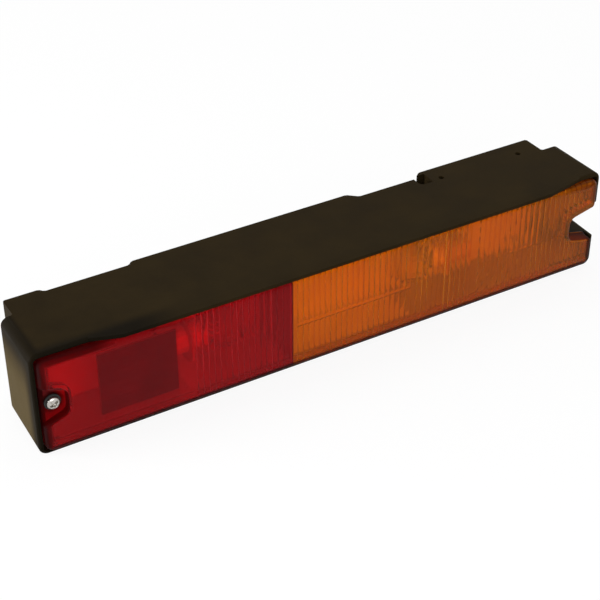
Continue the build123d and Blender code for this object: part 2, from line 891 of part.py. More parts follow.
with BuildPart() as cable_grommet:
    with BuildSketch(section(last_partition - grommet_flange)):
        with Locations((slot_depth, 0)):
            RegularPolygon(grommet_flange_radius, round_sides)
    extrude(amount=grommet_flange)
    with BuildSketch(section(last_partition)):
        with Locations((slot_depth, 0)):
            RegularPolygon(inlet_radius - fit_clearance, round_sides)
    extrude(amount=partition_wall + grommet_flange)
    with BuildSketch(section(last_partition - grommet_flange)):
        with Locations((slot_depth, 0)):
            RegularPolygon(grommet_bore, round_sides)
    extrude(amount=partition_wall + 2 * grommet_flange, mode=Mode.SUBTRACT)
cable_grommet.part.label = "cable_grommet"
export_step(cable_grommet.part, "parts/cable_grommet.step")

with BuildPart() as mounting_inserts:
    with BuildSketch(facing(total_depth)):
        for place in fixing_places:
            with Locations((place, 0)):
                RegularPolygon(fixing_radius, insert_sides)
                Circle(fixing_bore, mode=Mode.SUBTRACT)
    extrude(amount=fixing_length)
mounting_inserts.part.label = "mounting_inserts"
export_step(mounting_inserts.part, "parts/mounting_inserts.step")
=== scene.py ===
import math

import bmesh
import bpy
import numpy as np
from mathutils import Matrix, Vector


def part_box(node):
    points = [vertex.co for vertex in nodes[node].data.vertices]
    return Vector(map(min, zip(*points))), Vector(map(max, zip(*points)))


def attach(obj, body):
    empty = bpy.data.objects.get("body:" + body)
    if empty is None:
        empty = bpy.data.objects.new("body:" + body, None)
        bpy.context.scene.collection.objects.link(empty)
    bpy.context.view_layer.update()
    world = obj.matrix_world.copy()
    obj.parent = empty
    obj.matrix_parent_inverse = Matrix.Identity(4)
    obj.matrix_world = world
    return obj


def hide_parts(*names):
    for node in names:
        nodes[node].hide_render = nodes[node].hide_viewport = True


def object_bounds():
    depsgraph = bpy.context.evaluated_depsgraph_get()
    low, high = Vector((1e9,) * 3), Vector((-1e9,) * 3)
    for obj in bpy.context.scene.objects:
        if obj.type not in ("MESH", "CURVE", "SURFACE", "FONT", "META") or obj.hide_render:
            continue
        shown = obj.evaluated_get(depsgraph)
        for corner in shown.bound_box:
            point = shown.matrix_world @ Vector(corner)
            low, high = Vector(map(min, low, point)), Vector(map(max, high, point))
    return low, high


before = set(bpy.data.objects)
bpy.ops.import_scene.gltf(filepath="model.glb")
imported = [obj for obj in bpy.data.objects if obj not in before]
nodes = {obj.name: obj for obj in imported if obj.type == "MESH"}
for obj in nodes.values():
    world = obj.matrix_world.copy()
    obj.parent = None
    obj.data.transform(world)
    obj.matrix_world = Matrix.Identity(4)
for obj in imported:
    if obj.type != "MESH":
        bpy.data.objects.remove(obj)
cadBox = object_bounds()
milli = 0.001
tiny = 1e-9  # keeps a division away from 0
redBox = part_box("lens_red")
lensInset = 3.3  # from the housing's end to the lens, mm
lensProud = 3.2  # from the rim to the lens front, mm
screwAlong = 10.5  # from the housing's end to the lens screw, mm
leftEnd = redBox[0].x / milli - lensInset
rimPlane = redBox[0].y / milli + lensProud
meshForm = {"merge": 2e-6, "degenerate": 1e-7, "sharpAngle": 38}  # metres, metres, degrees
print("frame loaded", len(nodes), "nodes")


# Lamp millimetres to frame metres: along from the left end, depth behind the rim, up from mid height
def placed(along, depth, up):
    along, depth, up = np.broadcast_arrays(along, depth, up)
    spots = np.stack([along + leftEnd, depth + rimPlane, up], axis=-1)
    return spots.reshape(-1, 3) * milli


# Soft step from 0 at low to 1 at high
def softStep(low, high, value):
    t = np.clip((value - low) / (high - low), 0, 1)
    return t * t * (3 - 2 * t)


# Quads between two rows of vertex numbers
def ribbon(first, second):
    return np.stack([first[:-1], first[1:], second[1:], second[:-1]], axis=-1)


# Quads of a whole grid of vertex numbers
def gridQuads(grid):
    quads = np.stack([grid[:-1, :-1], grid[1:, :-1], grid[1:, 1:], grid[:-1, 1:]], axis=-1)
    return quads.reshape(-1, 4)


# A mesh from arrays, doubles merged and faces turned outwards, riding on the lamp
def addPiece(name, spots, quads, finish, replaced, shadeAndLight=None):
    mesh = bpy.data.meshes.new(name)
    mesh.from_pydata(spots.tolist(), [], quads.tolist())
    if shadeAndLight is not None:
        mesh.attributes.new("shadeAndLight", "FLOAT", "POINT").data.foreach_set("value", shadeAndLight)
    work = bmesh.new()
    work.from_mesh(mesh)
    bmesh.ops.remove_doubles(work, verts=work.verts, dist=meshForm["merge"])
    bmesh.ops.dissolve_degenerate(work, edges=work.edges, dist=meshForm["degenerate"])
    bmesh.ops.recalc_face_normals(work, faces=work.faces)
    openEdges = sum(1 for edge in work.edges if len(edge.link_faces) != 2)
    work.to_mesh(mesh)
    work.free()
    mesh.polygons.foreach_set("use_smooth", np.ones(len(mesh.polygons), bool))
    mesh.set_sharp_from_angle(angle=math.radians(meshForm["sharpAngle"]))
    mesh.materials.append(finish)
    piece = bpy.data.objects.new(name, mesh)
    bpy.context.collection.objects.link(piece)
    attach(piece, "root")
    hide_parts(replaced)
    print(name, len(mesh.polygons), "faces,", openEdges, "open edges")
    return piece


grainForm = {"Mottle": {"detail": 4.0, "rough": 0.6}, "Grain": {"detail": 2.0, "rough": 0.5}}


# Two noise masks on Object coordinates: slow mottling and fine moulded grain
def makeGrainGroup(form):
    tree = bpy.data.node_groups.new("mouldedGrain", "ShaderNodeTree")
    for label in form:
        tree.interface.new_socket(label + " Scale", in_out="INPUT", socket_type="NodeSocketFloat")
        tree.interface.new_socket(label, in_out="OUTPUT", socket_type="NodeSocketFloat")
    entry = tree.nodes.new("NodeGroupInput")
    leave = tree.nodes.new("NodeGroupOutput")
    coords = tree.nodes.new("ShaderNodeTexCoord")
    for label, values in form.items():
        noise = tree.nodes.new("ShaderNodeTexNoise")
        noise.inputs["Detail"].default_value = values["detail"]
        noise.inputs["Roughness"].default_value = values["rough"]
        tree.links.new(coords.outputs["Object"], noise.inputs["Vector"])
        tree.links.new(entry.outputs[label + " Scale"], noise.inputs["Scale"])
        tree.links.new(noise.outputs["Fac"], leave.inputs[label])
    return tree


grainGroup = makeGrainGroup(grainForm)
grainHeight = 0.0002  # metres
mottleForm = {"tones": (0.3, 0.72), "rough": (0.25, 0.75)}  # where the mottling's ramps start and end


# A finish: two tones mixed by the mottling, roughness that follows it, and grain as a fine bump
def makeFinish(name, look):
    material = bpy.data.materials.new(name)
    material.use_nodes = True
    tree = material.node_tree
    shader = tree.nodes["Principled BSDF"]
    grain = tree.nodes.new("ShaderNodeGroup")
    grain.node_tree = grainGroup
    grain.inputs["Mottle Scale"].default_value = look["mottle"]
    grain.inputs["Grain Scale"].default_value = look["grain"]
    tones = tree.nodes.new("ShaderNodeValToRGB")
    colours = (look["dark"], look["light"])
    for stop, position, colour in zip(tones.color_ramp.elements, mottleForm["tones"], colours):
        stop.position = position
        stop.color = (*colour, 1)
    tree.links.new(grain.outputs["Mottle"], tones.inputs["Fac"])
    tree.links.new(tones.outputs["Color"], shader.inputs["Base Color"])
    rough = tree.nodes.new("ShaderNodeMapRange")
    rough.inputs["From Min"].default_value, rough.inputs["From Max"].default_value = mottleForm["rough"]
    rough.inputs["To Min"].default_value, rough.inputs["To Max"].default_value = look["rough"]
    tree.links.new(grain.outputs["Mottle"], rough.inputs["Value"])
    tree.links.new(rough.outputs["Result"], shader.inputs["Roughness"])
    if look["bump"]:
        bump = tree.nodes.new("ShaderNodeBump")
        bump.inputs["Strength"].default_value = look["bump"]
        bump.inputs["Distance"].default_value = grainHeight
        tree.links.new(grain.outputs["Grain"], bump.inputs["Height"])
        tree.links.new(bump.outputs["Normal"], shader.inputs["Normal"])
    shader.inputs["Metallic"].default_value = look["metal"]
    shader.inputs["Specular IOR Level"].default_value = look["specular"]
    return material


# What a finish needs, with values that suit most of them
def finishLook(dark, light, rough, mottle=60, grain=900, bump=0.15, metal=0.0, specular=0.5):
    return dict(dark=dark, light=light, rough=rough, mottle=mottle, grain=grain, bump=bump,
                metal=metal, specular=specular)


# A Math node on two inputs, each of them a socket or a plain number
def addMath(tree, operation, first, second, clamp=False):
    node = tree.nodes.new("ShaderNodeMath")
    node.operation = operation
    node.use_clamp = clamp
    for place, value in zip(node.inputs, (first, second)):
        if isinstance(value, bpy.types.NodeSocket):
            tree.links.new(value, place)
        else:
            place.default_value = value
    return node.outputs[0]


# Blends the base colour towards another colour by a mask
def blendBase(tree, colour, mask):
    mix = tree.nodes.new("ShaderNodeMix")
    mix.data_type = "RGBA"
    base = tree.nodes["Principled BSDF"].inputs["Base Color"]
    tree.links.new(base.links[0].from_socket, mix.inputs["A"])
    mix.inputs["B"].default_value = (*colour, 1)
    tree.links.new(mask, mix.inputs["Factor"])
    tree.links.new(mix.outputs["Result"], base)


# One shader over another by a mask, put out as the material's surface
def mixSurface(tree, mask, under, over):
    mixed = tree.nodes.new("ShaderNodeMixShader")
    tree.links.new(mask, mixed.inputs["Fac"])
    tree.links.new(under, mixed.inputs[1])
    tree.links.new(over, mixed.inputs[2])
    tree.links.new(mixed.outputs["Shader"], tree.nodes["Material Output"].inputs["Surface"])


# Clear or tinted plastic and glass: a refracting shader that lets lamp light pass straight through as tinted
# light. Where the mesh has the attribute shadeAndLight, painted shade deepens the colour above 0 and painted
# light pales it below 0.
def makeClear(name, look):
    material = makeFinish(name, look)
    tree = material.node_tree
    shader = tree.nodes["Principled BSDF"]
    shader.inputs["Transmission Weight"].default_value = look["clear"]
    shader.inputs["IOR"].default_value = look["ior"]
    shader.inputs["Specular Tint"].default_value = (*look["glint"], 1)
    if "shadeColour" in look:
        shadeAndLight = tree.nodes.new("ShaderNodeAttribute")
        shadeAndLight.attribute_name = "shadeAndLight"
        blendBase(tree, look["shadeColour"], shadeAndLight.outputs["Fac"])
        blendBase(tree, look["lightColour"], addMath(tree, "MULTIPLY", shadeAndLight.outputs["Fac"], -1.0, clamp=True))
        dull = tree.nodes.new("ShaderNodeMix")
        tree.links.new(shader.inputs["Roughness"].links[0].from_socket, dull.inputs["A"])
        dull.inputs["B"].default_value = look["edgeRough"]
        tree.links.new(shadeAndLight.outputs["Fac"], dull.inputs["Factor"])
        tree.links.new(dull.outputs["Result"], shader.inputs["Roughness"])
    passing = tree.nodes.new("ShaderNodeBsdfTransparent")
    passing.inputs["Color"].default_value = (*look["passing"], 1)
    path = tree.nodes.new("ShaderNodeLightPath")
    mixSurface(tree, path.outputs["Is Shadow Ray"], shader.outputs["BSDF"], passing.outputs["BSDF"])
    return material


rubberLook = finishLook(
    (0.014, 0.014, 0.013), (0.026, 0.026, 0.025), (0.65, 0.85), grain=1200, bump=0.3, specular=0.3)
finishes = {
    "black_plastic": makeFinish("blackHousing", finishLook(
        (0.0140, 0.0092, 0.0034), (0.0210, 0.0140, 0.0054), (0.48, 0.62),
        mottle=35, grain=1500, bump=0.25, specular=0.015)),
    "reflex_red": makeFinish("reflexRed", finishLook(
        (0.16, 0.012, 0.010), (0.24, 0.022, 0.018), (0.12, 0.22), mottle=90, grain=700, bump=0.05)),
    "seal_rubber": makeFinish("sealRubber", rubberLook),
    "painted_seal": makeFinish("paintedSeal", rubberLook),
    "plated_steel": makeFinish("platedSteel", finishLook(
        (0.42, 0.40, 0.37), (0.58, 0.56, 0.52), (0.20, 0.36), mottle=220, grain=1500, bump=0.08, metal=1.0)),
    "white_enamel": makeFinish("whiteEnamel", finishLook(
        (0.68, 0.67, 0.63), (0.80, 0.79, 0.76), (0.30, 0.45), mottle=45, grain=700, bump=0.05)),
    "brass_parts": makeFinish("brassParts", finishLook(
        (0.52, 0.36, 0.13), (0.70, 0.52, 0.22), (0.25, 0.42), mottle=160, grain=1200, bump=0.06, metal=1.0)),
    # Sockets and bulb caps: paler and less metallic than brass, painted light that lifts the shade they show
    # through the lens
    "socket_brass": makeFinish("socketBrass", finishLook(
        (0.55, 0.42, 0.20), (0.74, 0.58, 0.32), (0.38, 0.55), mottle=160, grain=1200, bump=0.06, metal=0.35)),
    "bulb_cap_brass": makeFinish("bulbCapBrass", finishLook(
        (0.76, 0.72, 0.62), (0.86, 0.82, 0.72), (0.40, 0.55), mottle=160, grain=1200, bump=0.06, metal=0.1)),
    "filament_wire": makeFinish("filamentWire", finishLook(
        (0.66, 0.65, 0.62), (0.76, 0.75, 0.72), (0.40, 0.55), mottle=300, grain=2000, bump=0.05, metal=0.2)),
    "phenolic": makeFinish("phenolicBrown", finishLook(
        (0.055, 0.030, 0.016), (0.090, 0.052, 0.028), (0.35, 0.55), mottle=120, grain=1200, bump=0.12)),
    "bulb_glass": makeClear("bulbGlass", dict(
        finishLook((0.94, 0.95, 0.95), (0.98, 0.98, 0.98), (0.0, 0.03), mottle=80, grain=300, bump=0.02),
        clear=1.0, ior=1.2, glint=(1, 1, 1), passing=(0.95, 0.96, 0.96))),
    # shadeColour and lightColour: the tints that the lens's painted shade and painted light blend towards
    "red_lens": makeClear("redLens", dict(
        finishLook((0.68, 0.013, 0.022), (0.76, 0.017, 0.028), (0.10, 0.15), mottle=40, grain=260, bump=0.03),
        clear=0.91, ior=1.33, glint=(0.07, 0.05, 0.05), passing=(0.84, 0.20, 0.21),
        shadeColour=(0.10, 0.004, 0.005), lightColour=(0.93, 0.035, 0.05), edgeRough=0.75)),
    "amber_lens": makeClear("amberLens", dict(
        finishLook((0.76, 0.248, 0.003), (0.82, 0.292, 0.005), (0.10, 0.15), mottle=40, grain=260, bump=0.03),
        clear=0.90, ior=1.33, glint=(0.07, 0.05, 0.04), passing=(0.93, 0.56, 0.10),
        shadeColour=(0.16, 0.022, 0.001), lightColour=(0.95, 0.48, 0.006), edgeRough=0.75)),
}


# Each box is a middle and a half size, in mm on the frame's axes
insideForm = {
    "chambers": ((68.7, -39.5, 0.0), (183.7, 22.5, 30.2)),
    "rimWall": ((68.7, -52.2, -31.0), (176.0, 3.8, 1.6)),
    "bare": (
        ((-105.0, -58.0, 0.0), (11.0, 12.0, 15.0)),  # screw boss
        ((233.65, -30.0, 0.0), (1.45, 60.0, 7.4)),  # the end notch, from its round tip to its mouth
        ((237.8, -30.0, 0.0), (2.9, 60.0, 9.7)),
        ((244.8, -30.0, 0.0), (4.4, 60.0, 11.55)),
        ((254.5, -30.0, 0.0), (5.6, 60.0, 13.4)),
    ),
    "paint": (0.33, 0.33, 0.31),
    # bright: painted light, a lighter tone behind the amber flutes next to the weld
    "bright": ((80.4, -39.5, 0.0), (41.2, 22.5, 30.2)),  # behind the amber flutes next to the weld
    "paintedLightTone": (0.66, 0.66, 0.62),
    # even: painted light on the housing and painted shade on the carrier behind the red flutes
    "even": ((5.0, -39.5, 0.0), (29.0, 22.5, 30.2)),  # behind the red flutes
    "evenPaintedLight": (0.42, 0.42, 0.40),
    "evenPaintedShade": (0.40, 0.39, 0.37),
    "seal": ((61.0, -52.0, 0.0), (166.0, 5.0, 34.0)),  # the gasket behind the lens, not at the ends
    "sealPaint": (0.34, 0.34, 0.32),
}


# 1 inside a box on Object coordinates, 0 outside: each distance from the middle compared with the half size
def boxMask(tree, box):
    middle, half = box
    coords = tree.nodes.new("ShaderNodeTexCoord")
    away = tree.nodes.new("ShaderNodeVectorMath")
    away.operation = "SUBTRACT"
    away.inputs[1].default_value = [value * milli for value in middle]
    tree.links.new(coords.outputs["Object"], away.inputs[0])
    size = tree.nodes.new("ShaderNodeVectorMath")
    size.operation = "ABSOLUTE"
    tree.links.new(away.outputs[0], size.inputs[0])
    split = tree.nodes.new("ShaderNodeSeparateXYZ")
    tree.links.new(size.outputs[0], split.inputs[0])
    mask = 1.0
    for axis, reach in zip("XYZ", half):
        within = addMath(tree, "LESS_THAN", split.outputs[axis], reach * milli)
        mask = addMath(tree, "MULTIPLY", within, mask)
    return mask


# The housing is painted pale inside, in front of the carriers and on the lower rim wall, so that the lens
# shows lit chambers. The screw boss and the end notch stay bare.
def paintInside(material, form):
    tree = material.node_tree
    inside = addMath(tree, "MAXIMUM", boxMask(tree, form["chambers"]), boxMask(tree, form["rimWall"]))
    for box in form["bare"]:
        inside = addMath(tree, "SUBTRACT", inside, boxMask(tree, box), clamp=True)
    blendBase(tree, form["paint"], inside)
    # Painted light: lighter tones behind the amber flutes and behind the red flutes
    blendBase(tree, form["paintedLightTone"], boxMask(tree, form["bright"]))
    blendBase(tree, form["evenPaintedLight"], boxMask(tree, form["even"]))


# Each patch has, on each axis, the place where it starts and the place where it is full, in mm
lightAndShadeForm = {
    # lightened: painted light on the red end; rimShade: painted shade along the rim near it; endTopShade:
    # painted shade at its top
    "lightened": {
        "colour": (0.050, 0.0355, 0.0143), "X": (-109.5, -112.5), "Y": (-54.0, -44.0), "Z": (26.0, 0.0)},
    "rimShade": {"colour": (0.006, 0.0045, 0.0024), "X": (-20.0, -60.0), "Y": (-49.0, -57.5)},
    "endTopShade": {"colour": (0.007, 0.005, 0.0024), "X": (-110.0, -114.0), "Z": (16.0, 30.0)},
}


# Painted light and shade on Object coordinates: the red end is lighter behind and below (painted light) and
# darker at its top (painted shade), and painted shade darkens the rim near that end
def paintLightAndShade(material, form):
    tree = material.node_tree
    coords = tree.nodes.new("ShaderNodeTexCoord")
    split = tree.nodes.new("ShaderNodeSeparateXYZ")
    tree.links.new(coords.outputs["Object"], split.inputs[0])
    for patch in form.values():
        mask = 1.0
        for axis in "XYZ":
            if axis not in patch:
                continue
            ramp = tree.nodes.new("ShaderNodeMapRange")
            ramp.interpolation_type = "SMOOTHSTEP"
            ramp.inputs["From Min"].default_value = patch[axis][0] * milli
            ramp.inputs["From Max"].default_value = patch[axis][1] * milli
            tree.links.new(split.outputs[axis], ramp.inputs["Value"])
            mask = addMath(tree, "MULTIPLY", ramp.outputs["Result"], mask)
        blendBase(tree, patch["colour"], mask)


paintLightAndShade(finishes["black_plastic"], lightAndShadeForm)
paintInside(finishes["black_plastic"], insideForm)
sealTree = finishes["painted_seal"].node_tree
blendBase(sealTree, insideForm["sealPaint"], boxMask(sealTree, insideForm["seal"]))
# Painted shade: the carrier's enamel is darker behind the red flutes
enamelTree = finishes["white_enamel"].node_tree
blendBase(enamelTree, insideForm["evenPaintedShade"], boxMask(enamelTree, insideForm["even"]))
print("finishes made", len(finishes))


# Both lens halves, in lamp mm. Shade, light and thick values are shares of painted shade and painted light.
lensForm = {
    "weld": 155.5, "front": -lensProud, "wall": 2.5, "skirt": 2.2, "skirtEnd": 5.0, "halfHeight": 30.7,
    "edgeRound": 3.0, "cornerRound": 4.5, "leastRound": 0.3, "lipRound": 2.4, "footRound": 0.3,
    "footShare": 0.96, "bayHalf": 7.5, "bayRound": 5.0,
    # Grid: lines round the bay, columns of the main part and of the arms beside the bay, rows
    "outerLines": (0.7, 0.2, 0, -0.1, -0.5), "innerLines": (0.35, 0.1, 0, -0.1, -0.35),
    "lineLift": 0.1, "edgeArch": 0.28, "columnStep": 0.46, "mainShort": 5, "mainGap": 1.6, "armGap": 0.9,
    "armSpread": 1.6, "armColumns": 44, "armRows": 29, "bayRows": 9, "sideRows": 9,
    # Flutes, and the painted shade and light on them
    "flutePitch": 3.65, "archPower": 3, "midGroove": -3.0, "grooveHalf": 0.8, "groovePower": 4,
    "valleyPower": 5, "crestPower": 2, "topLift": 1.0, "topRange": (14, 27), "bandMargin": 0.1,
    "stripSoft": 1,
    # Painted shade of the border, the far end's top and the bay, and painted light on the skirt
    "edgeFade": 2.0, "lowerFade": 0.5, "lowerPart": 0.8, "bareStart": (34, 54), "bareEnd": (354, 338),
    "endStart": 320, "endShade": 0.4, "endValley": 2, "bayShade": 0.25, "screwNear": (8.0, 5.5),
    "sideThick": 0.12, "skirtLight": -0.8,
}
redForm = dict(
    lensForm, side=-1, reach=152.2, bayDepth=15.0, flare=0.367, floor=1.5, floorWall=2.0,
    bands=({"start": 95.0, "stop": 154.0, "rise": 0.7, "groove": 0.0, "shade": 0.22, "light": 0.1},),
    strip={"start": 84.0, "stop": 95.0, "light": 0.9, "low": -60.0, "high": -50.0},
    rings=None, tongue=None)
amberForm = dict(
    lensForm, side=1, reach=215.7, bayDepth=19.2, flare=0.244, floor=None, floorWall=0.0,
    bands=({"start": 159.2, "stop": 239.0, "rise": 0.56, "groove": 1.0, "shade": 0.30, "light": 0.5},
           {"start": 240.0, "stop": 259.6, "rise": 0.5, "groove": 0.0, "shade": 0.20, "light": 0.4},
           {"start": 260.0, "stop": 279.3, "rise": 0.75, "groove": 0.0, "shade": 0.42, "light": 0.0},
           {"start": 284.5, "stop": 369.0, "rise": 0.56, "groove": 0.5, "shade": 0.36, "light": 0.3}),
    strip={"start": 239.0, "stop": 259.6, "light": 0.7, "low": -4.0, "high": 10.0},
    rings={"along": 268.0, "up": -2.0, "pitch": 5.2, "rise": 0.4, "from": (283.5, 285), "to": (330, 300),
           "loss": 0.6},
    tongue={"start": 370.2, "end": 373.7, "middle": 3.4, "thickness": 1.6, "height": 21.0, "width": 9.0,
            "shadeAndLight": 0.3})


# Half height of the bay at q when its outline moves outwards by shift: a round at the tip, then a flare
def bayHalfHeight(form, q, shift):
    slope = form["flare"]
    root = math.hypot(1, slope)
    tip = form["reach"] - form["bayDepth"]
    centre = tip + form["bayRound"]
    level = form["bayHalf"] + form["bayRound"] * (slope - root)
    radius = form["bayRound"] + shift
    rounded = level + np.sqrt(np.maximum(radius ** 2 - (q - centre) ** 2, 0))
    straight = form["bayHalf"] + slope * (q - tip) + shift * root
    high = np.where(q < centre - radius * slope / root, rounded, straight)
    return np.where(q > centre - radius, high, level)


# Square corner of side size drawn in to a quarter round: each point keeps its larger share as its radius
def roundedIn(across, beyond, size):
    inside = (across > 0) & (beyond > 0) & (size > 0)
    scale = np.where(inside, np.maximum(across, beyond) / np.maximum(np.hypot(across, beyond), tiny), 1)
    return across * scale, beyond * scale


# One sheet of a lens half: columns q from the weld to the far end, rows from top to bottom, a few lines round
# the bay. Level 0 is the face, then each line has its own, and the last line's is that of the bay itself.
def lensSheet(form, inset, shift, lines):
    tip = form["reach"] - form["bayDepth"] - shift
    end = form["reach"] - inset
    mainCount = int((form["reach"] - form["bayDepth"] - form["mainShort"]) / form["columnStep"])
    mainColumns = np.linspace(0, tip - form["mainGap"], mainCount)
    spread = np.linspace(0, 1, form["armColumns"]) ** form["armSpread"]
    armColumns = tip + form["armGap"] + (end - tip - form["armGap"]) * spread
    q = np.concatenate([mainColumns, tip - lines, armColumns])
    lineLevel = np.arange(len(lines))
    columnLevel = np.concatenate([np.zeros(mainCount), lineLevel, np.full(form["armColumns"], lineLevel[-1])])
    lift = form["lineLift"] * (len(lines) // 2 - lineLevel)
    wallUp = bayHalfHeight(form, q[:, None], shift + lines) + lift
    top = form["halfHeight"] - inset
    share = np.linspace(0, 1, form["armRows"] + 1)[:-1]
    upper = top + (wallUp[:, :1] - top) * share
    middle = wallUp[:, -1:] * np.linspace(1, -1, form["bayRows"] + 2)[1:-1]
    up = np.concatenate([upper, wallUp, middle, -wallUp[:, ::-1], -upper[:, ::-1]], axis=1)
    armLevel = np.zeros(form["armRows"])
    bayLevel = np.full(form["bayRows"], lineLevel[-1])
    rowLevel = np.concatenate([armLevel, lineLevel, bayLevel, lineLevel[::-1], armLevel])
    level = np.minimum(columnLevel[:, None], rowLevel[None, :]).astype(int)
    q = np.repeat(q[:, None], up.shape[1], axis=1)
    size = max(form["cornerRound"] - inset, form["leastRound"])
    across, beyond = roundedIn(q - (end - size), np.abs(up) - (top - size), size)
    q, up = end - size + across, np.sign(up) * (top - size + beyond)
    lip = max(form["lipRound"] - inset, 0) if form["floor"] is None else 0
    if lip > 0:
        edge = bayHalfHeight(form, q, shift) + lip
        across, beyond = roundedIn(q - (end - lip), edge - np.abs(up), lip)
        q, up = end - lip + across, np.sign(up) * (edge - beyond)
    return q, up, level


# The way round a sheet's border: along the top row, down the far end, back along the bottom row
def borderPath(columns, rows):
    back = np.arange(columns - 1)[::-1]
    pathColumn = np.concatenate([np.arange(columns), np.full(rows - 1, columns - 1), back])
    pathRow = np.concatenate([np.zeros(columns, int), np.arange(1, rows), np.full(columns - 1, rows - 1)])
    return pathColumn, pathRow


# 1 on the flat line a little under mid height, falling fast to 0 above and below it
def midLine(form, up):
    return np.exp(-((up - form["midGroove"]) / form["grooveHalf"]) ** form["groovePower"])


# Flutes: each a low arch across its pitch inside its band, cut by the flat line, with rings in the end band
def fluteHeight(form, along, up):
    total = np.zeros(along.shape)
    for band in form["bands"]:
        count = math.floor((band["stop"] - band["start"]) / form["flutePitch"])
        turn = (along - band["start"]) / form["flutePitch"]
        arch = 1 - np.abs(2 * (turn - np.floor(turn)) - 1) ** form["archPower"]
        cut = 1 - band["groove"] * midLine(form, up)
        total = np.where((turn >= 0) & (turn <= count), arch * band["rise"] * cut, total)
    rings = form["rings"]
    if rings:
        turn = np.hypot(along - rings["along"], up - rings["up"]) / rings["pitch"]
        arch = 1 - (2 * (turn - np.floor(turn)) - 1) ** 2
        near = softStep(*rings["from"], along) * softStep(*rings["to"], along)
        total = total * (1 - rings["loss"] * near) + arch * rings["rise"] * near
    return total


# Painted shade and light across the flutes: a narrow dark line where two arches meet, a highlight on the
# crest between, stronger towards the top and broken by the flat line. One strip is painted light, flutes or
# not.
def valleyShade(form, along, up):
    total = np.zeros(along.shape)
    lift = 1 + form["topLift"] * softStep(*form["topRange"], up)
    for band in form["bands"]:
        turn = (along - band["start"]) / form["flutePitch"]
        across = np.abs(2 * (turn - np.floor(turn)) - 1)
        valley = across ** form["valleyPower"] * band["shade"]
        crest = (1 - across) ** form["crestPower"] * band["light"] * lift
        cut = 1 - band["groove"] * midLine(form, up)
        inside = (turn >= -form["bandMargin"]) & (turn <= (band["stop"] - band["start"]) / form["flutePitch"])
        total = np.where(inside, (valley - crest) * cut, total)
    strip, soft = form["strip"], form["stripSoft"]
    light = strip["light"] * softStep(strip["low"], strip["high"], up)
    light = light * softStep(strip["start"] - soft, strip["start"] + soft, along)
    return total - light * softStep(strip["stop"] + soft, strip["stop"] - soft, along)


# How deep the painted shade on the outer sheet's border is: fully, but fading out along the top between the
# ends, and following the valleys at the top of the far end
def borderDepth(form, along, up):
    lightened = softStep(*form["bareStart"], along) * softStep(*form["bareEnd"], along)
    lined = form["endShade"] + form["endValley"] * np.maximum(valleyShade(form, along, up), 0)
    return np.where(up > 0, 1 - lightened, 1) * np.where((up > 0) & (along > form["endStart"]), lined, 1)


# Painted shade on the outer sheet: deep within a fade of its border, on the bay's walls, round the screw
def outerShade(form, q, along, up, level, inset):
    border = np.minimum(form["reach"] - inset - q, form["halfHeight"] - inset - np.abs(up))
    nearScrew = softStep(*form["screwNear"], np.hypot(along - screwAlong, up))
    walled = np.where(level == level.max(), form["bayShade"] + (1 - form["bayShade"]) * nearScrew, 1)
    fade = np.where(up < -form["lowerPart"] * form["halfHeight"], form["lowerFade"], form["edgeFade"])
    return np.where(level > 0, walled, softStep(fade, 0, border) * borderDepth(form, along, up))


# One wall of a lens half: its sheet, let down by the fall of each level, then its border carried by steps,
# each an inset and a share of the way to the skirt's end. The lower side is paled by painted light from one
# step on.
def lensWall(form, wall):
    base, shift, steps = wall["base"], wall["shift"], wall["steps"]
    lines = np.array(wall["lines"])
    fullFall = wall["low"] - base
    falls = np.array([0, form["edgeArch"] * lines[0], lines[0], fullFall - form["footRound"], fullFall])
    q, up, level = lensSheet(form, wall["inset"], shift, lines)
    pathColumn, pathRow = borderPath(*level.shape)
    pathLevel = level[pathColumn, pathRow]
    along = form["weld"] + form["side"] * q
    depth = base + falls[level]
    if wall["fluted"]:
        depth = depth + np.where(level == 0, fluteHeight(form, along, up), 0)
        sheetShade = valleyShade(form, along, up)
        sideShade = np.full(len(pathRow), form["sideThick"])
    else:
        sheetShade = outerShade(form, q, along, up, level, wall["inset"])
        sideShade = borderDepth(form, along, up)[pathColumn, pathRow]
    sides = np.tile(sideShade, (len(steps), 1))
    sides[wall["clearFrom"]:, pathRow == pathRow.max()] = form["skirtLight"]
    parts = [placed(along, depth, up)]
    start = base + falls[pathLevel]
    for stepInset, part in steps:
        q, up, _ = lensSheet(form, stepInset, shift, lines)
        along, up = form["weld"] + form["side"] * q[pathColumn, pathRow], up[pathColumn, pathRow]
        if wall["fluted"]:
            ridge = fluteHeight(form, along, np.full(along.shape, form["halfHeight"]))
            up = up - np.sign(up) * np.where(pathLevel == 0, ridge, 0) * (1 - part)
        parts.append(placed(along, start + (form["skirtEnd"] - start) * part, up))
    return np.concatenate(parts), np.concatenate([sheetShade.reshape(-1), sides.reshape(-1)]), level


# Tongues that hook into the housing's end: two closed boxes, corners from the low and high of each axis
def tongueBoxes(form):
    corner = np.indices((2, 2, 2)).reshape(3, -1)
    faces = np.array([(0, 1, 3, 2), (4, 6, 7, 5), (0, 4, 5, 1), (2, 3, 7, 6), (0, 2, 6, 4), (1, 5, 7, 3)])
    spots, quads = [], []
    for level in (-form["height"], form["height"]):
        along = form["start"] + corner[0] * (form["end"] - form["start"])
        depth = form["middle"] + (corner[1] - 0.5) * form["thickness"]
        up = level + (corner[2] - 0.5) * form["width"]
        quads.append(faces + len(spots) * corner.shape[1])
        spots.append(placed(along, depth, up))
    return np.concatenate(spots), np.concatenate(quads)


